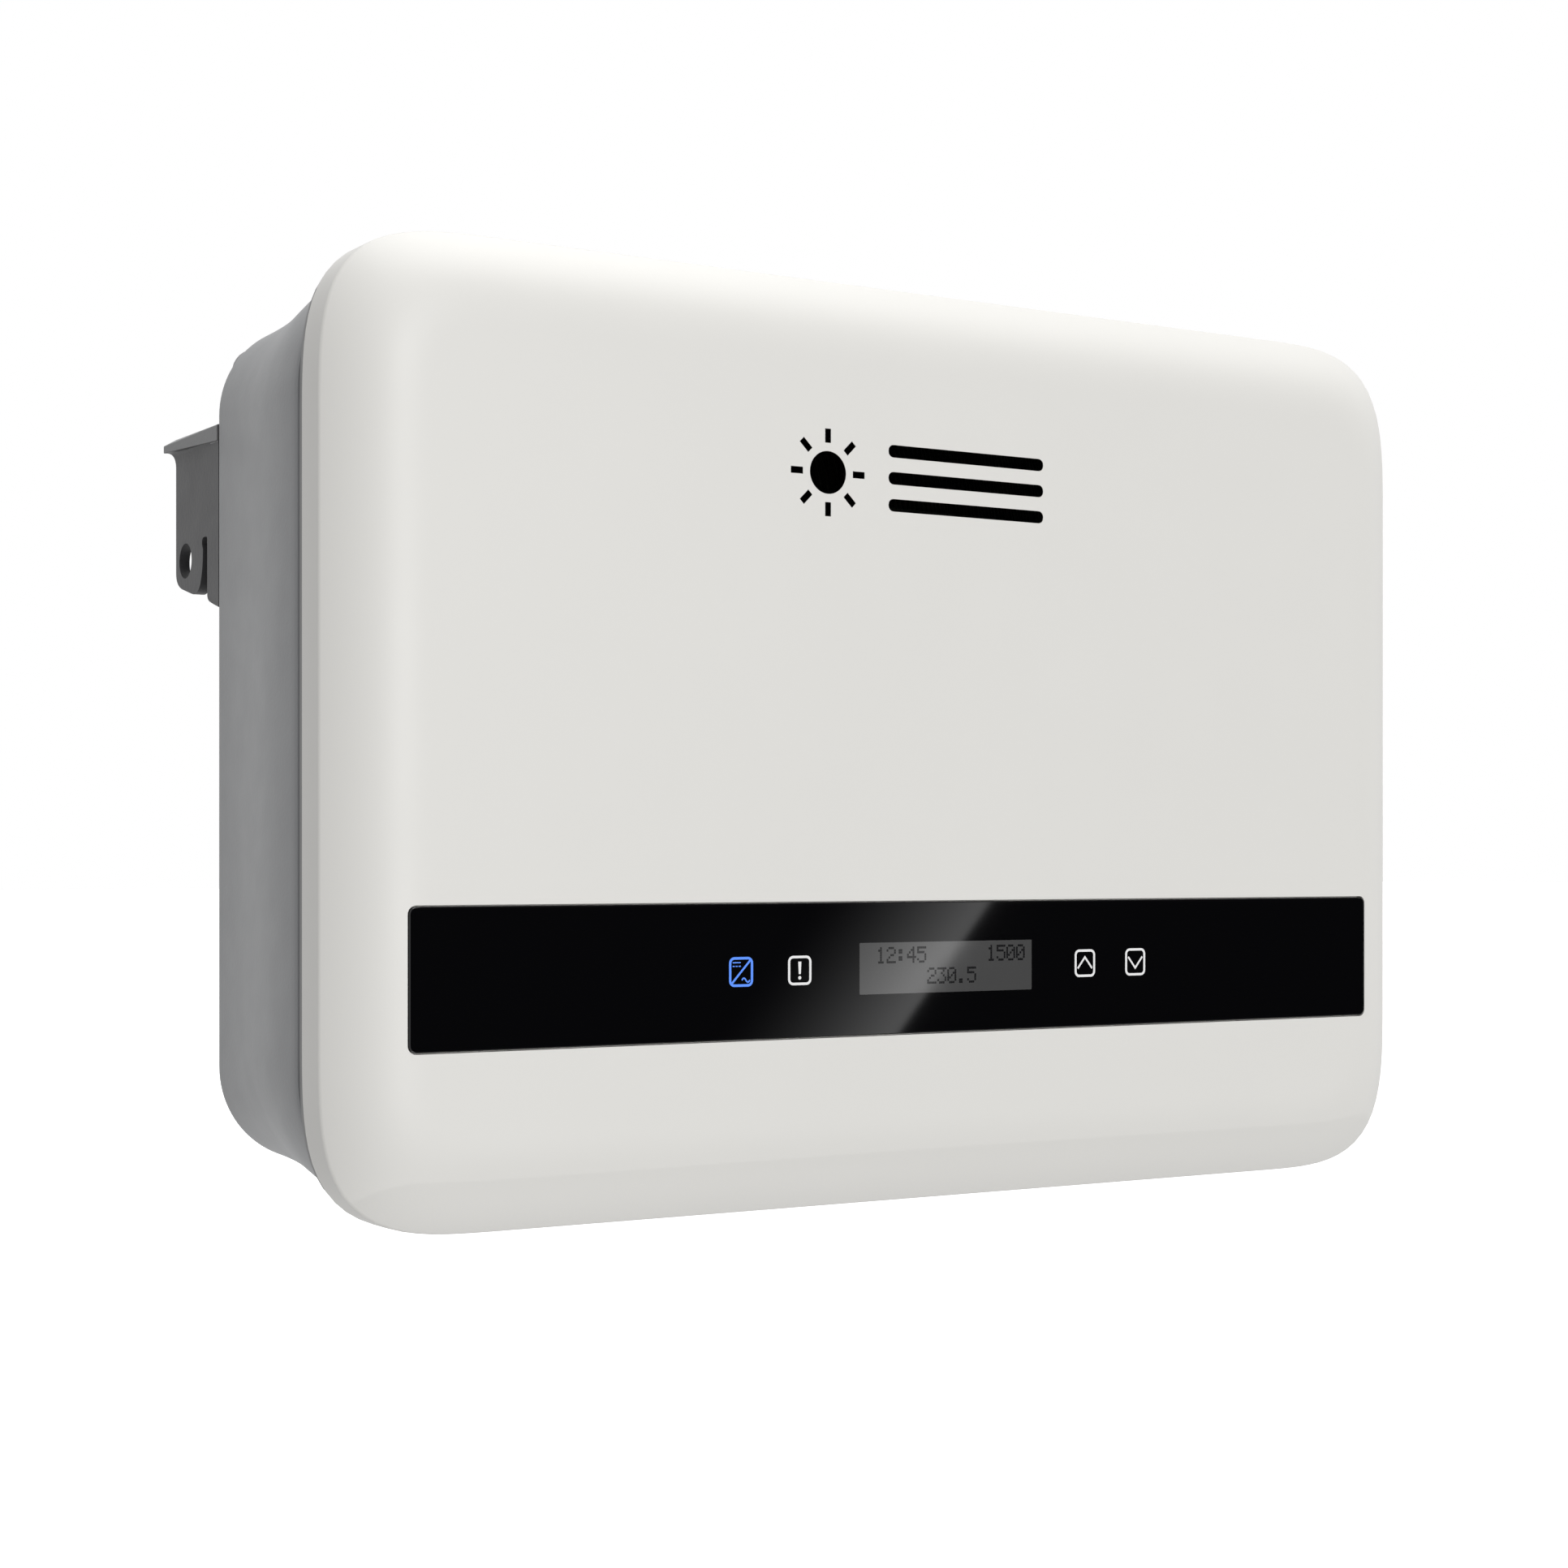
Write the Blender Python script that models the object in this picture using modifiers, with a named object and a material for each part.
"""Wall-mounted string inverter with its bracket.

Metres, +Z up, the front looks along -Y and +X is on the viewer's right.
The origin is the centre of the bracket's back face, which lies on the wall.
"""

import math

import bmesh
import bpy
from mathutils import Matrix, Vector

# Driving dimensions
WIDTH = 0.290
HEIGHT = 0.206
DEPTH = 0.120
CASE_Z = -0.061
GAP = 0.0003

# Front cover, measured back from its flat face
COVER_WALL = 0.003
SEAM_DEPTH = 0.0185
BAND_START = 0.0102
CREASE_R = 0.0016
PILLOW_DEPTH = 0.0091
PILLOW_START = 0.0004
PILLOW_WIDTH = 0.0200
PILLOW_POWER = 2.5
CORNER_R = 0.042
CORNER_POWER = 3.7
CORNER_STEPS = 8

# Cover screws: name, x and side (1 is the top band, -1 the bottom band)
SCREW_DEPTH = 0.0142
COVER_SCREWS = (
    ("cover_screw_top_left", -0.095, 1),
    ("cover_screw_top_right", 0.095, 1),
    ("cover_screw_bottom_left", -0.095, -1),
    ("cover_screw_bottom_right", 0.095, -1),
)

# Housing
HOUSING_BACK = 0.0916
HOUSING_WALL = 0.0025
HOUSING_EDGE = 0.0022
HOUSING_FRONT_R = 0.0333
HOUSING_BACK_R = 0.0193
RIB_FRONT = 0.011
RIB_INSET = COVER_WALL + GAP
RIB_WALL = 0.0025
FLANGE_FRONT = SEAM_DEPTH + GAP
FLANGE_BACK = 0.0209
# The walls flare out towards the flange: how far they draw in, how deep and how sharply
FLARE_SIDE = 0.0103
FLARE_TOP = 0.0074
FLARE_BOTTOM = 0.0093
FLARE_LENGTH = 0.0498
FLARE_POWER = 2.24

# Connector bay under the housing, in case coordinates
BAY_HALF_X = 0.112
BAY_FRONT = 0.034
BAY_BACK = 0.082
BAY_CEILING = -0.080
BAY_MIDDLE = 0.058
SWITCH_X = -0.085
PV_MINUS_X = -0.052
PV_PLUS_X = -0.029
COM_X = -0.003
DONGLE_X = 0.023
AC_X = 0.060
SIDE_X = 0.096
SHAFT_R = 0.003
KNOB_R = 0.0138
PORT_TAIL = 0.0060
AC_TAIL = 0.0125
BAY_HOLES = (
    ("switch", SWITCH_X, SHAFT_R + 0.0004),
    ("pv_minus", PV_MINUS_X, 0.0050),
    ("pv_plus", PV_PLUS_X, 0.0050),
    ("com", COM_X, PORT_TAIL),
    ("dongle", DONGLE_X, PORT_TAIL),
    ("ac", AC_X, AC_TAIL),
)

# Display strip
GLASS_SIZE = (0.259, 0.0015, 0.0293)
GLASS_Z = -0.050
GLASS_LEDGE = 0.004
STATUS_X = -0.0522
FAULT_X = -0.0373
LCD_X = 0.002
KEY_UP_X = 0.0412
KEY_DOWN_X = 0.0562
LCD_SIZE = (0.0500, 0.0042, 0.0150)
GUIDE = 0.0075
SPRING_R = 0.0040
DISPLAY_BOARD_FRONT = 0.0060

# Heat sink
SINK_WIDTH = 0.261
SINK_TOP = 0.0915
SINK_LOW = -0.0860
SINK_FRONT = HOUSING_BACK + 0.0004
SINK_PLATE = 0.004
SINK_CORNER_R = 0.006
FIN_TIP = 0.1115
FIN_HALF_X = 0.124
FIN_TOP = 0.0855
FIN_LOW = -0.0840
FIN_COUNT = 20
FIN_THICK = 0.002

# Wall bracket, in case coordinates
CHEEK_X = 0.1352
SHEET = 0.0025
CHEEK_TOP = 0.0728
CHEEK_FRONT = 0.0919
LIP_FOOT = 0.0672
PLATE_LOW = 0.050
PLATE_TOP = 0.070
TONGUE_X = 0.055
TONGUE_WIDTH = 0.040
TONGUE_FRONT = 0.1125
TONGUE_TOP = 0.086
EAR_HOLE = (0.1136, 0.0438)
EAR_HOLE_R = 0.0041
WALL_HOLE_X = (0.045, 0.100)
WALL_HOLE_R = 0.0035

# Hanger on the heat sink
HANGER_FRONT = 0.1154
HANGER_BACK = 0.1172
HANGER_LOW = PLATE_TOP + SHEET + GAP
HANGER_TOP = 0.091
HANGER_SCREW_Z = 0.087
FOOT_X = (-0.100, 0.0, 0.100)
FOOT_WIDTH = 0.016
FOOT_LOW = 0.080

# Boards, measured back from the cover's face
BOARD = 0.0016
MAIN_BOARD_FRONT = 0.0762
PARTS_BACK = MAIN_BOARD_FRONT - GAP
CONTROL_BOARD_FRONT = 0.0335
CONTROL_LEGS = (-0.112, -0.008)

COLOURS = {
    "cover_paint": ((0.72, 0.71, 0.69), 0.42, 0.0),
    "case_paint": ((0.25, 0.255, 0.26), 0.45, 0.3),
    "bracket_steel": ((0.11, 0.11, 0.12), 0.5, 0.4),
    "sink_aluminium": ((0.45, 0.46, 0.47), 0.4, 1.0),
    "black_glass": ((0.004, 0.004, 0.005), 0.05, 0.0),
    "lcd": ((0.07, 0.07, 0.07), 0.3, 0.0),
    "black_plastic": ((0.02, 0.02, 0.022), 0.5, 0.0),
    "grey_plastic": ((0.18, 0.18, 0.19), 0.5, 0.0),
    "clear_plastic": ((0.75, 0.78, 0.82), 0.2, 0.0),
    "rubber": ((0.03, 0.03, 0.03), 0.8, 0.0),
    "board_green": ((0.02, 0.16, 0.06), 0.5, 0.0),
    "screw_steel": ((0.55, 0.55, 0.56), 0.3, 1.0),
    "brass": ((0.66, 0.48, 0.2), 0.3, 1.0),
    "copper_wire": ((0.55, 0.26, 0.12), 0.35, 0.8),
    "film_yellow": ((0.7, 0.5, 0.08), 0.5, 0.0),
    "relay_white": ((0.75, 0.75, 0.73), 0.5, 0.0),
    "varistor_blue": ((0.05, 0.15, 0.5), 0.5, 0.0),
}


def clear_scene():
    for old in list(bpy.data.objects):
        bpy.data.objects.remove(old)


def new_collection(name):
    made = bpy.data.collections.new(name)
    bpy.context.scene.collection.children.link(made)
    return made


clear_scene()
PARTS = new_collection("string_inverter")
CUTTERS = new_collection("cutters")


def material(name):
    if name in bpy.data.materials:
        return bpy.data.materials[name]
    colour, roughness, metallic = COLOURS[name]
    made = bpy.data.materials.new(name)
    made.use_nodes = True
    shader = made.node_tree.nodes["Principled BSDF"]
    shader.inputs["Base Color"].default_value = (*colour, 1)
    shader.inputs["Roughness"].default_value = roughness
    shader.inputs["Metallic"].default_value = metallic
    return made


def place(x, depth, z):
    """A point of the case: x from its middle, depth back from the cover's face, z from its middle."""
    return Vector((x, depth - DEPTH, CASE_Z + z))


def keep(obj, name, look=None):
    """Names obj and files it as a part with a material, or as a hidden tool when look is None."""
    obj.name = name
    for owner in list(obj.users_collection):
        owner.objects.unlink(obj)
    if look is None:
        CUTTERS.objects.link(obj)
        obj.hide_render = True
        obj.display_type = "WIRE"
        return obj
    PARTS.objects.link(obj)
    obj.data.materials.clear()
    obj.data.materials.append(material(look))
    return obj


def face_out(bm):
    """Turns a closed skin's faces outwards."""
    bmesh.ops.recalc_face_normals(bm, faces=bm.faces)
    if bm.calc_volume(signed=True) < 0:
        bmesh.ops.reverse_faces(bm, faces=bm.faces)
    return bm


def object_from(bm, name, look):
    mesh = bpy.data.meshes.new(name)
    bm.to_mesh(mesh)
    bm.free()
    obj = bpy.data.objects.new(name, mesh)
    bpy.context.scene.collection.objects.link(obj)
    return keep(obj, name, look)


def box(name, low, high, look=None):
    """A block between two corners given in case coordinates (x, depth, z)."""
    a, b = place(*low), place(*high)
    bm = bmesh.new()
    bmesh.ops.create_cube(bm, size=1.0)
    size = b - a
    bmesh.ops.scale(bm, vec=size, verts=bm.verts)
    obj = object_from(bm, name, look)
    obj.location = (a + b) / 2
    return obj


def block(name, centre, size, look=None):
    x, depth, z = centre
    w, d, h = (s / 2 for s in size)
    return box(name, (x - w, depth - d, z - h), (x + w, depth + d, z + h), look)


TURNS = {
    "Z": Matrix.Identity(4),
    "Y": Matrix.Rotation(math.radians(-90), 4, "X"),
    "X": Matrix.Rotation(math.radians(90), 4, "Y"),
}


def cylinder(name, centre, radius, length, axis="Z", look=None, sides=24):
    bm = bmesh.new()
    bmesh.ops.create_cone(
        bm, cap_ends=True, segments=sides, radius1=radius, radius2=radius, depth=length
    )
    bmesh.ops.transform(bm, matrix=TURNS[axis], verts=bm.verts)
    obj = object_from(bm, name, look)
    obj.location = place(*centre)
    return obj


def turned(name, centre, profile, axis="Z", look=None, sides=24):
    """A turned piece: profile is (radius, height) points, down its outer side, closed on the axis."""
    bm = bmesh.new()
    verts = [bm.verts.new((r, 0, h)) for r, h in profile]
    for a, b in zip(verts, verts[1:]):
        bm.edges.new((a, b))
    obj = object_from(bm, name, look)
    screw = obj.modifiers.new("turn", "SCREW")
    screw.steps = sides
    screw.render_steps = sides
    screw.use_merge_vertices = True
    screw.merge_threshold = 0.00002
    obj.matrix_world = Matrix.Translation(place(*centre)) @ TURNS[axis]
    return obj


def prism(name, outline, low, high, plane, look=None):
    """A flat outline, extruded. plane names its two case axes: "XZ", "XD" or "DZ" (D is depth)."""
    curve = bpy.data.curves.new(name, "CURVE")
    curve.dimensions = "2D"
    curve.fill_mode = "BOTH"
    curve.extrude = (high - low) / 2
    spline = curve.splines.new("POLY")
    spline.points.add(len(outline) - 1)
    for point, (u, v) in zip(spline.points, outline):
        point.co = (u, v, 0, 1)
    spline.use_cyclic_u = True
    flat = bpy.data.objects.new(name + "_outline", curve)
    bpy.context.scene.collection.objects.link(flat)
    bpy.context.view_layer.update()
    mesh = bpy.data.meshes.new_from_object(
        flat.evaluated_get(bpy.context.evaluated_depsgraph_get())
    )
    bpy.data.objects.remove(flat)
    bm = bmesh.new()
    bm.from_mesh(mesh)
    bpy.data.meshes.remove(mesh)
    bmesh.ops.remove_doubles(bm, verts=bm.verts, dist=0.00001)
    middle = (low + high) / 2
    axes = {
        "XZ": (Vector((1, 0, 0)), Vector((0, 0, 1)), Vector((0, 1, 0))),
        "XD": (Vector((1, 0, 0)), Vector((0, 1, 0)), Vector((0, 0, 1))),
        "DZ": (Vector((0, 1, 0)), Vector((0, 0, 1)), Vector((1, 0, 0))),
    }
    first, second, third = axes[plane]
    start = place(0, 0, 0)
    for v in bm.verts:
        u, w, h = v.co
        v.co = start + first * u + second * w + third * (h + middle)
    return object_from(face_out(bm), name, look)


def rounded(half_w, half_h, r, power=2.0, steps=CORNER_STEPS, centre=(0.0, 0.0)):
    """Points of a rectangle with round corners. A power above 2 makes the corners squarer and softer."""
    points = []
    for sx, sz, quarter in ((1, 1, 0), (-1, 1, 1), (-1, -1, 2), (1, -1, 3)):
        for i in range(steps + 1):
            a = math.radians(90 * quarter + 90 * i / steps)
            along, up = abs(math.cos(a)), abs(math.sin(a))
            reach = r / (along**power + up**power) ** (1 / power)
            x = sx * (half_w - r + reach * along)
            z = sz * (half_h - r + reach * up)
            points.append((centre[0] + x, centre[1] + z))
    return points


def loft(name, rings, look=None):
    """A closed skin through rings of (depth, outline), the first and last of them capped."""
    bm = bmesh.new()
    layers = []
    for depth, outline in rings:
        layers.append([bm.verts.new(place(x, depth, z)) for x, z in outline])
    count = len(layers[0])
    for a, b in zip(layers, layers[1:]):
        for i in range(count):
            j = (i + 1) % count
            bm.faces.new((a[i], a[j], b[j], b[i]))
    bm.faces.new(layers[0])
    bm.faces.new(layers[-1])
    return object_from(face_out(bm), name, look)


def ring_loft(name, rings, look=None):
    """A closed ring: the last outline joins back to the first."""
    bm = bmesh.new()
    layers = []
    for depth, outline in rings:
        layers.append([bm.verts.new(place(x, depth, z)) for x, z in outline])
    count = len(layers[0])
    for a, b in zip(layers, layers[1:] + layers[:1]):
        for i in range(count):
            j = (i + 1) % count
            bm.faces.new((a[i], a[j], b[j], b[i]))
    return object_from(face_out(bm), name, look)


def combine(target, tool, operation):
    step = target.modifiers.new(operation.lower(), "BOOLEAN")
    step.operation = operation
    step.solver = "EXACT"
    step.object = tool
    return target


def cut(target, tool):
    return combine(target, tool, "DIFFERENCE")


def join(target, tool):
    return combine(target, tool, "UNION")


def smooth(obj, degrees=35):
    obj.data.shade_smooth()
    obj.data.set_sharp_from_angle(angle=math.radians(degrees))
    return obj


def cover_ring(inset):
    """The cover's outline, drawn in by inset."""
    r = max(CORNER_R - inset, 0.018)
    return rounded(WIDTH / 2 - inset, HEIGHT / 2 - inset, r, CORNER_POWER)


def pillow_depth(inset):
    """How far the soft front edge has fallen back from the flat face at a given inset."""
    u = (PILLOW_WIDTH - inset) / (PILLOW_WIDTH - PILLOW_START)
    return PILLOW_DEPTH * max(u, 0) ** PILLOW_POWER


def front_cover():
    crease = math.radians(21)
    crease_inset = CREASE_R * (1 - math.cos(crease))
    pillow = [PILLOW_START, 0.0024, 0.0048, 0.0078, 0.0120, PILLOW_WIDTH]
    outer = [
        (SEAM_DEPTH, cover_ring(0.0)),
        (BAND_START, cover_ring(0.0)),
        (BAND_START - CREASE_R * math.sin(crease), cover_ring(crease_inset)),
    ]
    outer += [(pillow_depth(i), cover_ring(i)) for i in pillow]
    inner = [
        (SEAM_DEPTH, cover_ring(COVER_WALL)),
        (0.0085, cover_ring(COVER_WALL)),
        (0.0062, cover_ring(0.0065)),
        (0.0042, cover_ring(0.012)),
        (COVER_WALL, cover_ring(PILLOW_WIDTH)),
    ]
    cover = loft("front_cover", outer[::-1] + inner, "cover_paint")
    w, d, h = GLASS_SIZE
    rebate = block("glass_rebate", (0, 0, GLASS_Z), (w + 2 * GAP, 2 * (d + GAP), h + 2 * GAP))
    cut(cover, rebate)
    clear = (w - 2 * GLASS_LEDGE, 0.02, h - 2 * GLASS_LEDGE)
    cut(cover, block("display_window", (0, 0, GLASS_Z), clear))
    for name, x, side in COVER_SCREWS:
        z = side * HEIGHT / 2
        head_cut = cylinder(name + "_counterbore", (x, SCREW_DEPTH, z), 0.0036, 0.0042)
        cut(cover, head_cut)
        cut(cover, cylinder(name + "_way", (x, SCREW_DEPTH, z), 0.0020, 0.012, sides=16))
    return smooth(cover)


def cover_screws():
    """Pan-head screws let into the cover's top and bottom bands, through the housing's rib."""
    head, neck, shank = 0.0032, -0.0014, 0.0017
    profile = [(0, 0), (0.0028, -0.0002), (head, neck), (shank, neck), (shank, -0.010), (0, -0.010)]
    for name, x, side in COVER_SCREWS:
        centre = (x, SCREW_DEPTH, side * (HEIGHT / 2 - 0.0004))
        screw = turned(name, centre, profile, "Z", "screw_steel", 16)
        if side < 0:
            screw.matrix_world = screw.matrix_world @ Matrix.Rotation(math.pi, 4, "X")


def display_carrier():
    """The plate behind the glass that holds the display, the light guides and the touch springs."""
    low, high = 0.0034, 0.0054
    w = GLASS_SIZE[0] - 2 * GLASS_LEDGE - 0.003
    h = GLASS_SIZE[2] - 2 * GLASS_LEDGE - 0.0015
    middle = (low + high) / 2
    carrier = block("display_carrier", (0, middle, GLASS_Z), (w, high - low, h), "black_plastic")
    lcd_w, lcd_h = LCD_SIZE[0] + 2 * GAP, LCD_SIZE[2] + 2 * GAP
    cut(carrier, block("lcd_opening", (LCD_X, middle, GLASS_Z), (lcd_w, 0.006, lcd_h)))
    guide = GUIDE + 2 * GAP
    for name, x in (("status", STATUS_X), ("fault", FAULT_X)):
        cut(carrier, block(name + "_opening", (x, middle, GLASS_Z), (guide, 0.006, guide)))
    for name, x in (("up", KEY_UP_X), ("down", KEY_DOWN_X)):
        cut(carrier, cylinder(name + "_opening", (x, middle, GLASS_Z), SPRING_R + GAP, 0.006, "Y"))


def display():
    w, d, h = GLASS_SIZE
    outline = rounded(w / 2, h / 2, 0.0015, steps=3, centre=(0, GLASS_Z))
    prism("display_glass", outline, 0, d, "XZ", "black_glass")
    display_carrier()
    front, back = d + GAP, DISPLAY_BOARD_FRONT - GAP
    middle, deep = (front + back) / 2, back - front
    lcd_w, lcd_h = LCD_SIZE[0], LCD_SIZE[2]
    block("lcd_module", (LCD_X, middle, GLASS_Z), (lcd_w, deep, lcd_h), "lcd")
    for name, x in (("status", STATUS_X), ("fault", FAULT_X)):
        block("light_guide_" + name, (x, middle, GLASS_Z), (GUIDE, deep, GUIDE), "clear_plastic")
    for name, x in (("up", KEY_UP_X), ("down", KEY_DOWN_X)):
        cylinder("touch_spring_" + name, (x, middle, GLASS_Z), SPRING_R, deep, "Y", "brass", 16)
    board = (0, DISPLAY_BOARD_FRONT + BOARD / 2, GLASS_Z)
    block("display_board", board, (0.236, BOARD, 0.0185), "board_green")


def cover_gasket():
    outer, inner = RIB_INSET + 0.0001, RIB_INSET + 0.0023
    front, back = 0.0090, RIB_FRONT - GAP
    rings = [(back, cover_ring(outer)), (front, cover_ring(outer))]
    rings += [(front, cover_ring(inner)), (back, cover_ring(inner))]
    ring_loft("cover_gasket", rings, "rubber")


def flare(depth):
    """Share of the walls' whole draw-in that they have reached at a depth."""
    return 1 - math.exp(-(((depth - SEAM_DEPTH) / FLARE_LENGTH) ** FLARE_POWER))


def housing_layer(depth, wall=0.0):
    """The housing's outline at a depth, drawn in by a wall's thickness for the inside."""
    share = flare(depth)
    half_w = WIDTH / 2 - FLARE_SIDE * share - wall
    half_h = (HEIGHT - (FLARE_TOP + FLARE_BOTTOM) * share) / 2 - wall
    drop = (FLARE_BOTTOM - FLARE_TOP) * share / 2
    r = HOUSING_FRONT_R + (HOUSING_BACK_R - HOUSING_FRONT_R) * share**1.87
    return (depth, rounded(half_w, half_h, r - wall, centre=(0, drop)))


def rear_housing():
    """A tub: a flange with a rib at the front, walls that draw in behind it and a flat back."""
    edge = HOUSING_BACK - HOUSING_EDGE
    rings = [(HOUSING_BACK, housing_layer(edge, HOUSING_EDGE)[1])]
    rings += [(HOUSING_BACK - 0.0006, housing_layer(edge, 0.0008)[1]), housing_layer(edge)]
    rings += [housing_layer(x) for x in (0.079, 0.070, 0.062, 0.054, 0.046, 0.038, 0.030)]
    rings.append(housing_layer(FLANGE_BACK, GAP))
    lip = cover_ring(GAP)
    rings += [(FLANGE_BACK - 0.0004, lip), (FLANGE_FRONT, lip)]
    rings += [(FLANGE_FRONT, cover_ring(RIB_INSET)), (RIB_FRONT, cover_ring(RIB_INSET))]
    inside = RIB_INSET + RIB_WALL
    rings += [(RIB_FRONT, cover_ring(inside)), (FLANGE_BACK, cover_ring(inside))]
    wall = HOUSING_WALL + 0.001
    rings += [housing_layer(x, wall) for x in (0.038, 0.054, 0.070)]
    rings.append((HOUSING_BACK - HOUSING_WALL, housing_layer(edge, wall)[1]))
    housing = loft("rear_housing", rings, "case_paint")
    add_bay(housing)
    for name, x, side in COVER_SCREWS:
        z = side * (HEIGHT / 2 - 0.004)
        cut(housing, cylinder(name + "_hole", (x, SCREW_DEPTH, z), 0.0020, 0.014, sides=16))
    return smooth(housing)


def add_bay(housing):
    """The bay in the underside that the connectors hang in, so that they don't show from the front."""
    front, back = BAY_FRONT - HOUSING_WALL, BAY_BACK + HOUSING_WALL
    outline = [(back, BAY_CEILING + HOUSING_WALL), (front, BAY_CEILING + HOUSING_WALL)]
    for depth in (front, 0.045, 0.058, 0.070, back):
        outline.append((depth, -HEIGHT / 2 + FLARE_BOTTOM * flare(depth) + HOUSING_WALL / 2))
    x = BAY_HALF_X + HOUSING_WALL
    join(housing, prism("bay_walls", outline, -x, x, "DZ"))
    x = BAY_HALF_X
    cut(housing, box("bay_space", (-x, BAY_FRONT, -0.110), (x, BAY_BACK, BAY_CEILING)))
    for name, hole_x, radius in BAY_HOLES:
        centre = (hole_x, BAY_MIDDLE, BAY_CEILING)
        cut(housing, cylinder(name + "_hole", centre, radius + GAP, 0.012, sides=20))


def heat_sink():
    """A plate with a comb of upright fins on its back, notched for the hanger's feet."""
    root = SINK_FRONT + SINK_PLATE
    pitch = (2 * FIN_HALF_X - FIN_THICK) / (FIN_COUNT - 1)
    outline = [(-FIN_HALF_X, root - 0.001)]
    for i in range(FIN_COUNT):
        left = -FIN_HALF_X + i * pitch
        right = left + FIN_THICK
        outline += [(left, root + 0.0002), (left, FIN_TIP), (right, FIN_TIP), (right, root + 0.0002)]
    outline = [p for i, p in enumerate(outline) if i != 1 and i != len(outline) - 1]
    outline.append((FIN_HALF_X, root - 0.001))
    middle, half_h = (SINK_TOP + SINK_LOW) / 2, (SINK_TOP - SINK_LOW) / 2
    plate = rounded(SINK_WIDTH / 2, half_h, SINK_CORNER_R, steps=4, centre=(0, middle))
    sink = prism("heat_sink", plate, SINK_FRONT, root, "XZ", "sink_aluminium")
    join(sink, prism("fin_comb", outline, FIN_LOW, FIN_TOP, "XD"))
    for i, x in enumerate(FOOT_X):
        w = FOOT_WIDTH / 2 + 0.001
        low, high = (x - w, root, FOOT_LOW - 0.001), (x + w, FIN_TIP + 0.01, 0.2)
        cut(sink, box(f"foot_notch_{i}", low, high))
    return sink


def hanger_bracket():
    """A bar that drops behind the bracket's tongues, on three feet that reach the heat sink's plate."""
    half = 0.112
    root = SINK_FRONT + SINK_PLATE + GAP + 0.0001
    bar_low, bar_high = (-half, HANGER_FRONT, HANGER_LOW), (half, HANGER_BACK, HANGER_TOP)
    hanger = box("hanger_bracket", bar_low, bar_high, "bracket_steel")
    w = FOOT_WIDTH / 2
    screw_names = ("hanger_screw_left", "hanger_screw_middle", "hanger_screw_right")
    for name, x in zip(screw_names, FOOT_X):
        low, high = (x - w, root, FOOT_LOW), (x + w, HANGER_FRONT + 0.001, HANGER_TOP - 0.0004)
        join(hanger, box(name + "_foot", low, high))
    head, shank = 0.0036, 0.0019
    for name, x in zip(screw_names, FOOT_X):
        middle = (root + HANGER_BACK) / 2
        hole = cylinder(name + "_hole", (x, middle, HANGER_SCREW_Z), shank + GAP, 0.03, "Y", sides=16)
        cut(hanger, hole)
        length = HANGER_BACK - root
        seat = GAP
        profile = [(0, 0.0022), (head - 0.0006, 0.0022), (head, 0.0016), (head, seat)]
        profile += [(shank, seat), (shank, -length + GAP), (0, -length + GAP)]
        turned(name, (x, HANGER_BACK, HANGER_SCREW_Z), profile, "Y", "screw_steel", 16)
    return hanger


def cheek_outline():
    """Side view of a bracket cheek: (depth, z). A slit parts the ear at the wall from the rest."""
    ear = [(DEPTH, 0.0410), (0.1195, 0.0393), (0.1175, 0.0379), (0.1136, 0.0368), (0.1089, 0.0357)]
    ear += [(0.1058, 0.0354), (0.1044, 0.0367), (0.1034, 0.0384), (0.1024, 0.0416), (0.1020, 0.0455)]
    slit_end = [(0.1026, 0.0468), (0.1024, 0.0478), (0.1015, 0.0482), (0.1000, 0.0482), (0.0992, 0.0475)]
    low_edge = [(0.0992, 0.0345), (0.0988, 0.0338), (0.0975, 0.0330), (0.0952, 0.0323)]
    low_edge.append((CHEEK_FRONT, 0.0314))
    return [(CHEEK_FRONT, CHEEK_TOP), (DEPTH, CHEEK_TOP), *ear, *slit_end, *low_edge]


def lip(side):
    """The edge along a cheek's top: flush at the front, drawn out and down to a thin tip at the wall."""
    bite = 0.001
    front, wall = (0.0001, 0.0727, 0.0693), (0.0030, 0.0710, 0.0695)
    rings = []
    for depth, (reach, high, low) in ((CHEEK_FRONT, front), (DEPTH, wall)):
        root, tip = side * (CHEEK_X - bite), side * (CHEEK_X + reach)
        outline = [(root, CHEEK_TOP - 0.0001), (tip, high), (tip, low), (side * CHEEK_X, LIP_FOOT)]
        rings.append((depth, [*outline, (root, LIP_FOOT)]))
    return loft("lip", rings)


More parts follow.
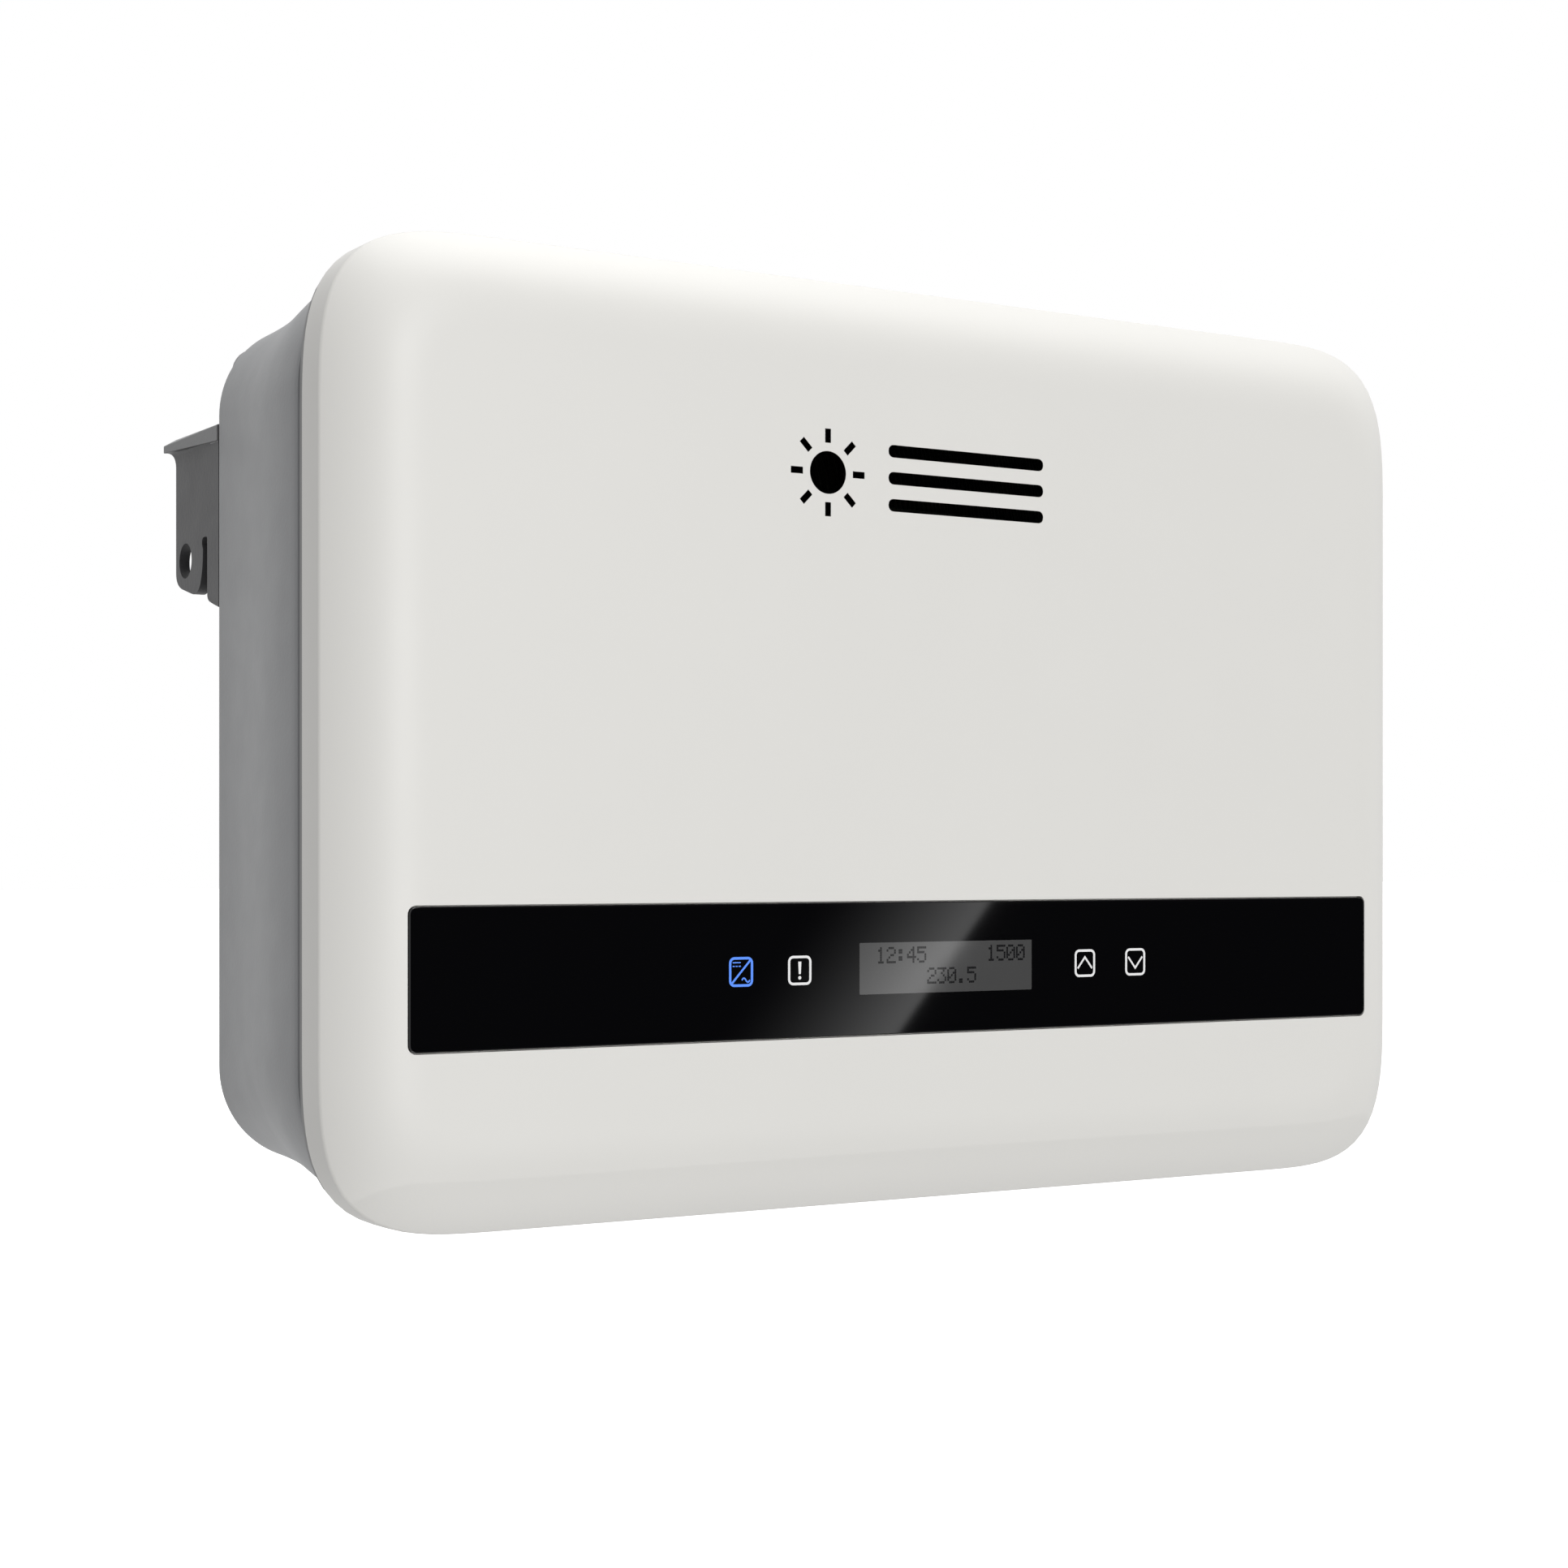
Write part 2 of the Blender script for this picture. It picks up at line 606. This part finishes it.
def wall_bracket():
    """One steel piece: a wall plate, a cheek at each end and two tongues that the hanger drops over."""
    front = DEPTH - SHEET
    reach = CHEEK_X - SHEET / 2
    top = PLATE_TOP + SHEET
    bite = 0.001
    through = 0.012
    bracket = box("wall_bracket", (-reach, front, PLATE_LOW), (reach, DEPTH, top), "bracket_steel")
    for side, word in ((-1, "left"), (1, "right")):
        x = side * TONGUE_X
        w = TONGUE_WIDTH / 2
        low = (x - w, TONGUE_FRONT, PLATE_TOP)
        join(bracket, box(word + "_shelf", low, (x + w, front + bite, top)))
        join(bracket, box(word + "_tongue", low, (x + w, TONGUE_FRONT + SHEET, TONGUE_TOP)))
        faces = sorted((side * CHEEK_X, side * (CHEEK_X - SHEET)))
        join(bracket, prism(word + "_cheek", cheek_outline(), *faces, "DZ"))
        join(bracket, lip(side))
        depth, z = EAR_HOLE
        centre = (side * CHEEK_X, depth, z)
        cut(bracket, cylinder(word + "_ear_hole", centre, EAR_HOLE_R, through, "X"))
        for i, hole_x in enumerate(WALL_HOLE_X):
            centre = (side * hole_x, DEPTH, -CASE_Z)
            hole = cylinder(f"{word}_wall_hole_{i}", centre, WALL_HOLE_R, through, "Y", sides=20)
            cut(bracket, hole)
    return bracket


def pv_sockets():
    """Two round panel sockets. The plus one is a plain bore, the minus one has a pin in it."""
    flange, barrel, tail, bore, pin = 0.0085, 0.0068, 0.0050, 0.0050, 0.0019
    top, low, deep = 0.0140, -0.0240, -0.0060
    outside = [(0, top), (tail, top), (tail, -GAP), (flange, -GAP), (flange, -0.0025), (barrel, -0.0030)]
    outside += [(barrel, low), (bore, low), (bore, deep)]
    ends = {
        "pv_socket_plus": [(0, deep)],
        "pv_socket_minus": [(pin, deep), (pin, low + 0.003), (0, low + 0.002)],
    }
    for name, x in (("pv_socket_minus", PV_MINUS_X), ("pv_socket_plus", PV_PLUS_X)):
        centre = (x, BAY_MIDDLE, BAY_CEILING)
        turned(name, centre, outside + ends[name], "Z", "black_plastic", 20)


def round_port(name, x, look, barrel=0.0070):
    """A plain round port with a flange under the bay's ceiling."""
    tail = PORT_TAIL
    profile = [(0, 0.012), (tail, 0.012), (tail, -GAP), (0.0105, -GAP), (0.0105, -0.0023)]
    profile += [(barrel, -0.0023), (barrel, -0.0100), (0, -0.0100)]
    return turned(name, (x, BAY_MIDDLE, BAY_CEILING), profile, "Z", look, 20)


def port_cap(name, x, length, look, barrel=0.0070):
    """A cup over a port: its closed end is at the bottom."""
    outer, inner = barrel + 0.0028, barrel + GAP
    top, floor = -0.0023 - GAP, -0.0100 - GAP
    edge = 0.001
    profile = [(inner, top), (outer, top), (outer, edge - length), (outer - edge, -length)]
    profile += [(0, -length), (0, floor), (inner, floor), (inner, top)]
    return turned(name, (x, BAY_MIDDLE, BAY_CEILING), profile, "Z", look, 20)


def ac_socket():
    """The grid socket: a wide open barrel with three contact pins, held by a nut inside the case."""
    tail, flange, barrel, bore = AC_TAIL, 0.0165, 0.0140, 0.0110
    low, deep, top = -0.0225, -0.0060, 0.0130
    profile = [(0, top), (tail, top), (tail, -GAP), (flange, -GAP), (flange, -0.0028), (barrel, -0.0028)]
    profile += [(barrel, low), (bore, low), (bore, deep), (0, deep)]
    socket = turned("ac_socket", (AC_X, BAY_MIDDLE, BAY_CEILING), profile, "Z", "black_plastic", 24)
    for i in range(3):
        a = math.radians(90 + 120 * i)
        x, depth = AC_X + 0.0065 * math.cos(a), BAY_MIDDLE + 0.0065 * math.sin(a)
        pin = cylinder(f"ac_pin_{i}", (x, depth, BAY_CEILING - 0.012), 0.0015, 0.016, sides=8)
        join(socket, pin)
    z = BAY_CEILING + HOUSING_WALL + GAP + 0.0025
    nut = cylinder("ac_socket_nut", (AC_X, BAY_MIDDLE, z), 0.0175, 0.005, look="grey_plastic", sides=6)
    cut(nut, cylinder("ac_nut_bore", (AC_X, BAY_MIDDLE, z), AC_TAIL + GAP, 0.012, sides=24))


def dc_switch():
    """The isolator's body inside the case, and its shaft and knob under the bay's ceiling."""
    low = BAY_CEILING + HOUSING_WALL + GAP
    x = SWITCH_X
    body_low, body_high = (x - 0.018, BAY_MIDDLE - 0.016, low), (x + 0.018, BAY_MIDDLE + 0.016, -0.046)
    body = box("dc_switch_body", body_low, body_high, "grey_plastic")
    socket = (x, BAY_MIDDLE, low)
    cut(body, cylinder("switch_shaft_way", socket, SHAFT_R + GAP, 0.020, sides=16))
    shaft_low, shaft_high = BAY_CEILING - 0.016, low + 0.0085
    middle = (shaft_low + shaft_high) / 2
    length = shaft_high - shaft_low
    cylinder("dc_switch_shaft", (x, BAY_MIDDLE, middle), SHAFT_R, length, look="screw_steel", sides=16)
    profile = [(0, -0.0012), (0.0128, -0.0012), (KNOB_R, -0.0022), (KNOB_R, -0.0070), (0.0118, -0.0078)]
    profile += [(0, -0.0078)]
    knob = turned("dc_switch_knob", (x, BAY_MIDDLE, BAY_CEILING), profile, "Z", "black_plastic", 28)
    grip = block("knob_grip", (x, BAY_MIDDLE, BAY_CEILING - 0.0135), (0.0060, 0.0250, 0.0140))
    join(knob, grip)
    cut(knob, cylinder("knob_bore", (x, BAY_MIDDLE, BAY_CEILING), SHAFT_R + GAP, 0.034, sides=16))


def bay_fittings():
    pv_sockets()
    round_port("com_port", COM_X, "black_plastic")
    port_cap("com_port_cap", COM_X, 0.0180, "black_plastic")
    round_port("dongle_port", DONGLE_X, "black_plastic")
    port_cap("dongle_cap", DONGLE_X, 0.0140, "rubber")
    ac_socket()
    dc_switch()
    hexagon = [(0, -GAP), (0.0048, -GAP), (0.0048, -0.0040), (0, -0.0040)]
    turned("earth_screw", (SIDE_X, 0.070, BAY_CEILING), hexagon, "Z", "screw_steel", 6)
    vent = [(0, -GAP), (0.0070, -GAP), (0.0070, -0.0030), (0.0055, -0.0040), (0, -0.0040)]
    turned("pressure_vent", (SIDE_X, 0.046, BAY_CEILING), vent, "Z", "grey_plastic", 16)


def boards():
    back = MAIN_BOARD_FRONT + BOARD
    box("main_board", (-0.118, MAIN_BOARD_FRONT, -0.070), (0.118, back, 0.082), "board_green")
    wall = HOUSING_BACK - HOUSING_WALL
    middle, length = (back + wall) / 2, wall - back - 2 * GAP
    corners = [(-0.110, 0.074), (0.110, 0.074), (-0.110, -0.062), (0.110, -0.062)]
    for i, (x, z) in enumerate(corners, 1):
        cylinder(f"board_standoff_{i}", (x, middle, z), 0.0035, length, "Y", "brass", 6)
    pad_front = wall - 0.0009
    box("thermal_pad", (-0.075, pad_front, 0.020), (0.075, wall - GAP, 0.052), "grey_plastic")
    box("power_module", (-0.072, back + GAP, 0.022), (0.072, pad_front - GAP, 0.050), "black_plastic")
    legs, sheet = CONTROL_LEGS, 0.0015
    front = CONTROL_BOARD_FRONT + BOARD + GAP
    left, right = legs
    outline = [(left, PARTS_BACK), (left, front), (right, front), (right, PARTS_BACK)]
    outline += [(right - sheet, PARTS_BACK), (right - sheet, front + sheet)]
    outline += [(left + sheet, front + sheet), (left + sheet, PARTS_BACK)]
    prism("control_bracket", outline, 0.022, 0.078, "XD", "sink_aluminium")
    board_low = (left + 0.002, CONTROL_BOARD_FRONT, 0.012)
    box("control_board", board_low, (right - 0.002, CONTROL_BOARD_FRONT + BOARD, 0.080), "board_green")


def toroid(name, x, z, ring_r, wire_r):
    """A wound ring, lying against the main board with its axis towards the front."""
    bpy.ops.mesh.primitive_torus_add(
        major_segments=24, minor_segments=10, major_radius=ring_r, minor_radius=wire_r
    )
    ring = keep(bpy.context.object, name, "copper_wire")
    ring.data.transform(TURNS["Y"])
    ring.location = place(x, PARTS_BACK - wire_r, z)
    return smooth(ring, 60)


def upright(name, x, z, radius, height, look, sides=20):
    """A round component standing on the main board."""
    centre = (x, PARTS_BACK - height / 2, z)
    return smooth(cylinder(name, centre, radius, height, "Y", look, sides))


def on_board(name, x, z, size, look):
    w, height, h = size
    return block(name, (x, PARTS_BACK - height / 2, z), (w, height, h), look)


def components():
    toroid("boost_inductor", 0.030, 0.050, 0.0170, 0.0090)
    toroid("output_inductor", 0.088, 0.050, 0.0170, 0.0090)
    toroid("emi_choke", 0.092, -0.004, 0.0115, 0.0070)
    for i, x in enumerate((-0.090, -0.060, -0.030), 1):
        upright(f"dc_link_capacitor_{i}", x, 0.050, 0.0125, 0.034, "black_plastic")
    on_board("film_capacitor", -0.090, 0.000, (0.032, 0.026, 0.018), "film_yellow")
    on_board("relay_1", 0.020, -0.010, (0.019, 0.016, 0.029), "relay_white")
    on_board("relay_2", 0.048, -0.010, (0.019, 0.016, 0.029), "relay_white")
    on_board("current_sensor", -0.012, -0.010, (0.022, 0.018, 0.020), "black_plastic")
    on_board("input_terminal", -0.045, -0.050, (0.030, 0.014, 0.014), "grey_plastic")
    on_board("output_terminal", 0.066, -0.050, (0.036, 0.014, 0.014), "grey_plastic")
    on_board("input_fuse", -0.045, -0.012, (0.032, 0.010, 0.009), "relay_white")
    upright("surge_varistor", -0.008, -0.048, 0.0085, 0.007, "varistor_blue", 16)


def display_ribbon():
    """A flat cable from the display board back and up to the control board."""
    thick = 0.0008
    front = DISPLAY_BOARD_FRONT + BOARD + GAP
    back = CONTROL_BOARD_FRONT - GAP - thick / 2
    route = [(front, -0.050), (0.0150, -0.048), (0.0220, -0.036), (0.0265, -0.014), (0.0300, 0.008)]
    route += [(back, 0.020), (back, 0.030)]
    upper, lower = [], []
    for i, (depth, z) in enumerate(route):
        before, after = route[max(i - 1, 0)], route[min(i + 1, len(route) - 1)]
        along = Vector((after[0] - before[0], after[1] - before[1])).normalized()
        upper.append((depth - along.y * thick / 2, z + along.x * thick / 2))
        lower.append((depth + along.y * thick / 2, z - along.x * thick / 2))
    prism("display_ribbon", upper + lower[::-1], -0.034, -0.016, "DZ", "grey_plastic")


def parent_to(empty_name, location, names):
    """Hangs the named parts on an empty that sits on their joint's axis."""
    empty = bpy.data.objects.new(empty_name, None)
    PARTS.objects.link(empty)
    empty.location = location
    bpy.context.view_layer.update()
    for name in names:
        child = bpy.data.objects[name]
        child.parent = empty
        child.matrix_parent_inverse = empty.matrix_world.inverted()
    return empty


def joints():
    knob = ("dc_switch_knob", "dc_switch_shaft")
    cap = ("com_port_cap",)
    fixed = [o.name for o in PARTS.objects if o.name not in (*knob, *cap, "wall_bracket")]
    lift = parent_to("inverter_lift", place(0, HANGER_FRONT, HANGER_LOW), fixed)
    turns = (
        parent_to("dc_switch_turn", place(SWITCH_X, BAY_MIDDLE, BAY_CEILING), knob),
        parent_to("com_cap_turn", place(COM_X, BAY_MIDDLE, BAY_CEILING), cap),
    )
    for turn in turns:
        turn.parent = lift
        turn.matrix_parent_inverse = lift.matrix_world.inverted()


def build():
    wall_bracket()
    front_cover()
    cover_screws()
    display()
    cover_gasket()
    rear_housing()
    heat_sink()
    hanger_bracket()
    bay_fittings()
    boards()
    components()
    display_ribbon()
    joints()


build()
